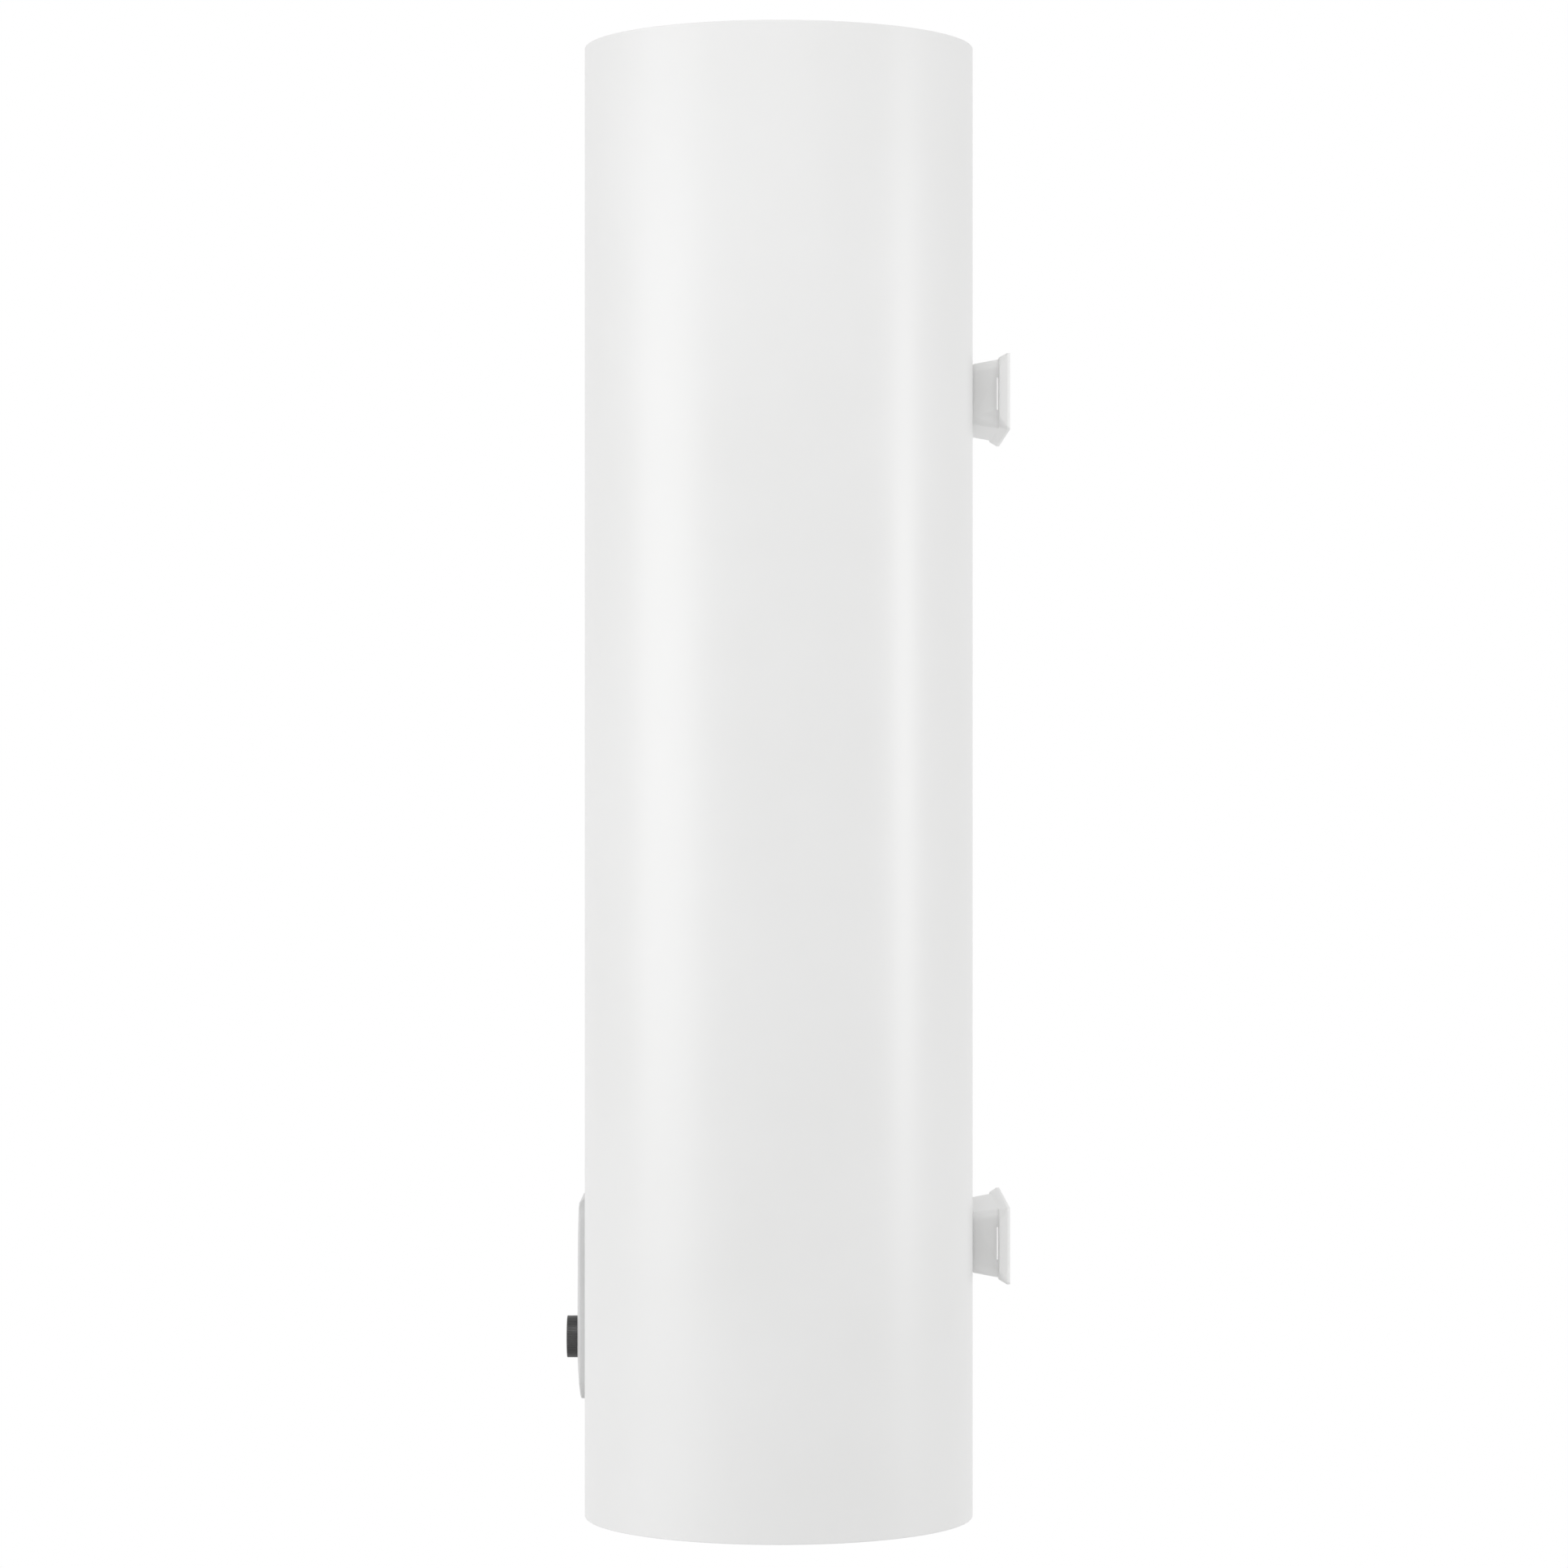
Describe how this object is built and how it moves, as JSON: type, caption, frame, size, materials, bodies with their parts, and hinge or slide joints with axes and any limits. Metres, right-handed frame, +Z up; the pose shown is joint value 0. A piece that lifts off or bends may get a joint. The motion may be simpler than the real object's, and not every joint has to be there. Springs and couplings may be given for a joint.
{
  "type": "wall-hung storage water heater",
  "caption": "Flat wall-hung electric storage water heater: oval white steel casing over twin tanks, front control panel with a turning knob, pressed wall brackets behind.",
  "frame": {"origin": "on the wall plane, on the centre line, in the middle of the upper bracket's upper rim", "axes": "+X to the right as seen from the front, +Y into the wall, +Z up; the front faces -Y"},
  "size_m": [0.5, 0.3143, 1.04],
  "materials": {
    "white_enamel": "gloss",
    "cover_plastic": "satin",
    "bracket_paint": "satin",
    "fascia_plastic": "satin",
    "housing_plastic": "matte",
    "knob_plastic": "satin",
    "knob_face": "satin",
    "window_plastic": "gloss",
    "lens_plastic": "gloss",
    "zinc_steel": "satin",
    "stainless_steel": "satin",
    "element_sheath": "satin",
    "magnesium": "matte",
    "foam": "matte",
    "dip_plastic": "satin",
    "cold_blue": "satin",
    "hot_red": "satin",
    "seal_rubber": "matte",
    "insulator_ceramic": "matte",
    "black_plastic": "satin",
    "terminal_plastic": "matte",
    "circuit_board": "satin",
    "lead_insulation": "satin"
  },
  "bodies": {
    "heater": {"anode_nuts": "zinc_steel", "board_components": "black_plastic", "board_posts": "terminal_plastic", "bottom_cover": "cover_plastic", "bracket_bolts": "zinc_steel", "bracket_nuts": "zinc_steel", "cable_gland": "black_plastic", "closing_plate": "zinc_steel", "cold_collar": "cold_blue", "cold_diffuser": "dip_plastic", "cold_nipple": "stainless_steel", "control_fascia": "fascia_plastic", "cover_screws": "zinc_steel", "display_board": "circuit_board", "display_module": "black_plastic", "display_window": "window_plastic", "flange_bolts": "zinc_steel", "gland_locknut": "black_plastic", "hot_collar": "hot_red", "hot_dip_tube": "dip_plastic", "hot_nipple": "stainless_steel", "housing_screws": "zinc_steel", "indicator_lenses": "lens_plastic", "insulation_foam": "foam", "left_anode": "magnesium", "left_flange_gasket": "seal_rubber", "left_heater_flange": "zinc_steel", "left_heating_element": "element_sheath", "left_tank": "stainless_steel", "left_thermowell": "stainless_steel", "lower_bracket": "bracket_paint", "lower_link_pipe": "stainless_steel", "lower_tank_rail": "zinc_steel", "outer_casing": "white_enamel", "panel_gasket": "seal_rubber", "panel_housing": "housing_plastic", "panel_lead": "lead_insulation", "potentiometer": "black_plastic", "power_board": "circuit_board", "rail_spacers": "zinc_steel", "right_anode": "magnesium", "right_flange_gasket": "seal_rubber", "right_heater_flange": "zinc_steel", "right_heating_element": "element_sheath", "right_tank": "stainless_steel", "right_thermowell": "stainless_steel", "safety_cutout": "black_plastic", "temperature_probes": "stainless_steel", "terminal_block": "terminal_plastic", "terminal_insulators": "insulator_ceramic", "top_cover": "cover_plastic", "upper_bracket": "bracket_paint", "upper_link_pipe": "stainless_steel", "upper_tank_rail": "zinc_steel", "wiring_leads": "lead_insulation"},
    "knob": {"knob_grip": "knob_plastic", "knob_cap": "knob_face", "knob_spindle": "zinc_steel"},
    "button": {"reset_button": "hot_red"}
  },
  "joints": [
    {"name": "knob_turn", "type": "hinge", "parent": "heater", "child": "knob", "pos_m": [0, -0.3073, -0.699], "axis": [0, 1, 0], "range_deg": [0, 270]},
    {"name": "reset_press", "type": "slide", "parent": "heater", "child": "button", "axis": [0, 0, 1], "range_m": [0, 0.0015], "stiffness_N_per_m": 500, "springref_m": -0.002}
  ]
}
